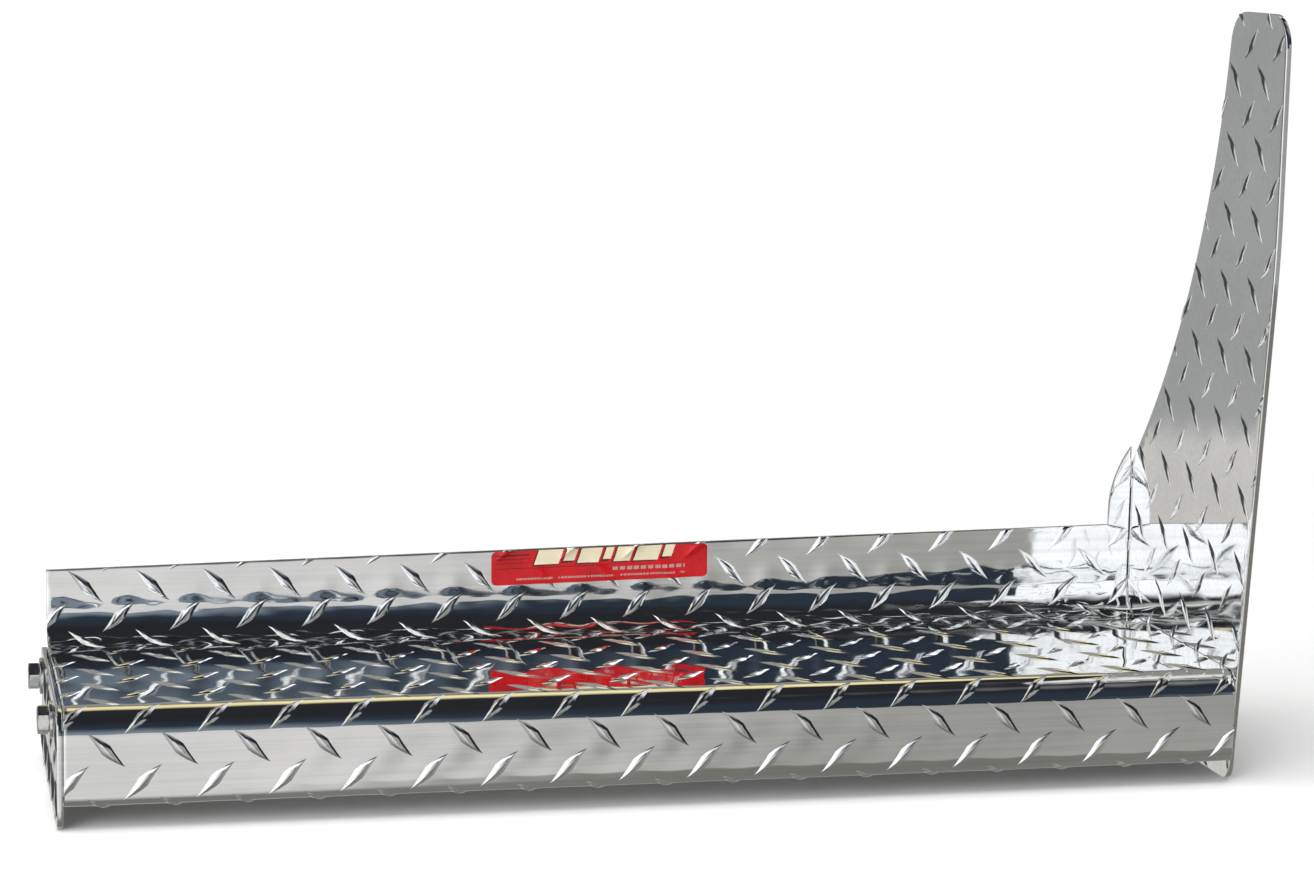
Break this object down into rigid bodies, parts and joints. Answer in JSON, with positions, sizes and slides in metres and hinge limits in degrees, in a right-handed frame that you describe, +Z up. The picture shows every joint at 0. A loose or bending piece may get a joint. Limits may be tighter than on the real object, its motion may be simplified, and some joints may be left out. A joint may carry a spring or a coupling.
{
  "type": "running board",
  "caption": "Short tread plate running board section with a bent step, back panel, upright stone guard and bolted end plate.",
  "frame": {"origin": "middle of the bounding box at its bottom, level with the feet of the stone guard and the left end plate", "axes": "+X along the board towards the stone guard, +Y from the skirt towards the vehicle, +Z up"},
  "size_m": [0.6782, 0.2048, 0.435],
  "materials": {
    "bright_tread_plate": "bright rolled tread plate, mirror-like between the lugs",
    "mill_aluminium": "satin mill finish with fine drawing lines",
    "zinc_steel": "bright zinc plate",
    "weld_metal": "rippled weld bead",
    "label_film": "satin printed film"
  },
  "bodies": {
    "root": {"back_panel_label": "label_film", "front_left_slide_bolt": "zinc_steel", "front_left_slide_nut": "zinc_steel", "front_left_slide_washer": "zinc_steel", "front_rail": "mill_aluminium", "front_rail_weld_1": "weld_metal", "front_rail_weld_2": "weld_metal", "front_rail_weld_3": "weld_metal", "front_right_slide_bolt": "zinc_steel", "front_right_slide_nut": "zinc_steel", "front_right_slide_washer": "zinc_steel", "guard_corner_weld": "weld_metal", "left_end_angle": "mill_aluminium", "left_end_plate": "bright_tread_plate", "left_front_bolt": "zinc_steel", "left_front_lock_washer": "zinc_steel", "left_front_nut": "zinc_steel", "left_front_washer": "zinc_steel", "left_rear_bolt": "zinc_steel", "left_rear_lock_washer": "zinc_steel", "left_rear_nut": "zinc_steel", "left_rear_washer": "zinc_steel", "rear_left_slide_bolt": "zinc_steel", "rear_left_slide_nut": "zinc_steel", "rear_left_slide_washer": "zinc_steel", "rear_rail": "mill_aluminium", "rear_rail_weld_1": "weld_metal", "rear_rail_weld_2": "weld_metal", "rear_rail_weld_3": "weld_metal", "rear_right_slide_bolt": "zinc_steel", "rear_right_slide_nut": "zinc_steel", "rear_right_slide_washer": "zinc_steel", "right_end_angle": "mill_aluminium", "right_front_bolt": "zinc_steel", "right_front_lock_washer": "zinc_steel", "right_front_nut": "zinc_steel", "right_front_washer": "zinc_steel", "right_rear_bolt": "zinc_steel", "right_rear_lock_washer": "zinc_steel", "right_rear_nut": "zinc_steel", "right_rear_washer": "zinc_steel", "stone_guard": "bright_tread_plate", "tread_board": "bright_tread_plate"}
  },
  "joints": []
}
